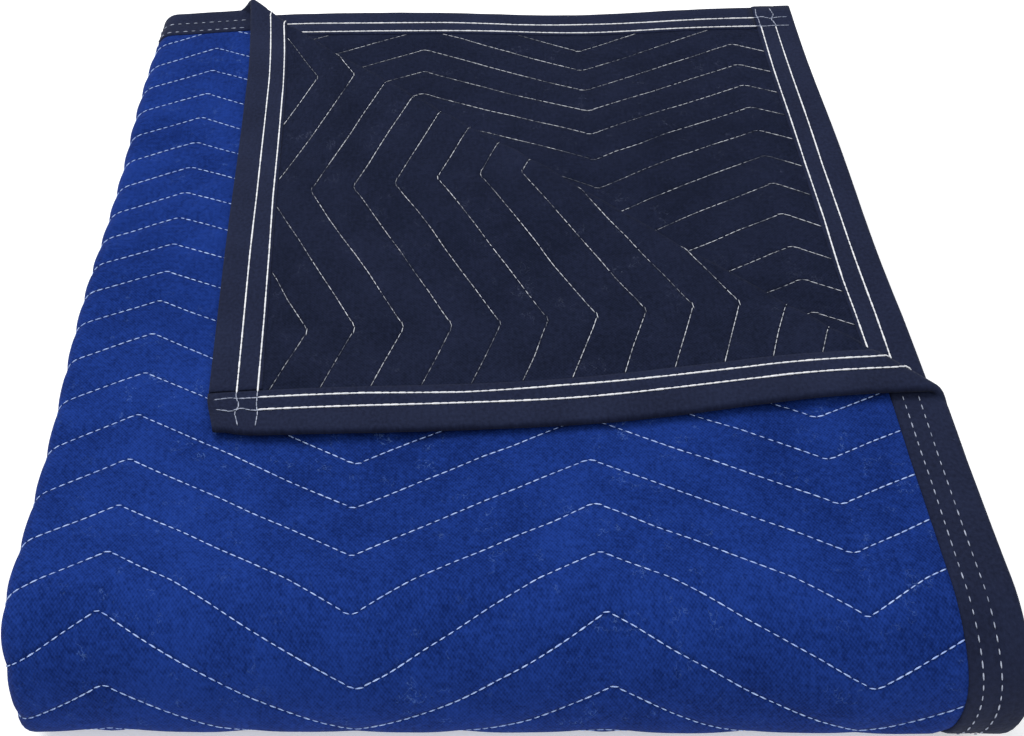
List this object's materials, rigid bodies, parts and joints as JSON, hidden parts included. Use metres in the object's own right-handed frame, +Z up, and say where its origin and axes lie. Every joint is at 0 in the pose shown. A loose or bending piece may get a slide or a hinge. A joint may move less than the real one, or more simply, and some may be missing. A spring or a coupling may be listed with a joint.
{
  "type": "folded moving blanket",
  "caption": "Quilted moving blanket folded into a thick stack of layers, blue one side and navy the other, with one bound corner turned over on top.",
  "frame": {"origin": "middle of the underside, on the surface the folded blanket lies on", "axes": "+X across the stack towards its open bound sides, -Y towards the rounded front fold, +Z up"},
  "size_m": [0.465, 0.5196, 0.0953],
  "materials": {
    "blue_cloth": "matte woven",
    "navy_cloth": "matte woven",
    "binding_tape": "matte woven"
  },
  "bodies": {
    "root": {"blue_face": "blue_cloth", "navy_face": "navy_cloth", "side_binding_first": "binding_tape", "side_binding_last": "binding_tape", "end_binding_first": "binding_tape", "end_binding_last": "binding_tape"}
  },
  "joints": []
}
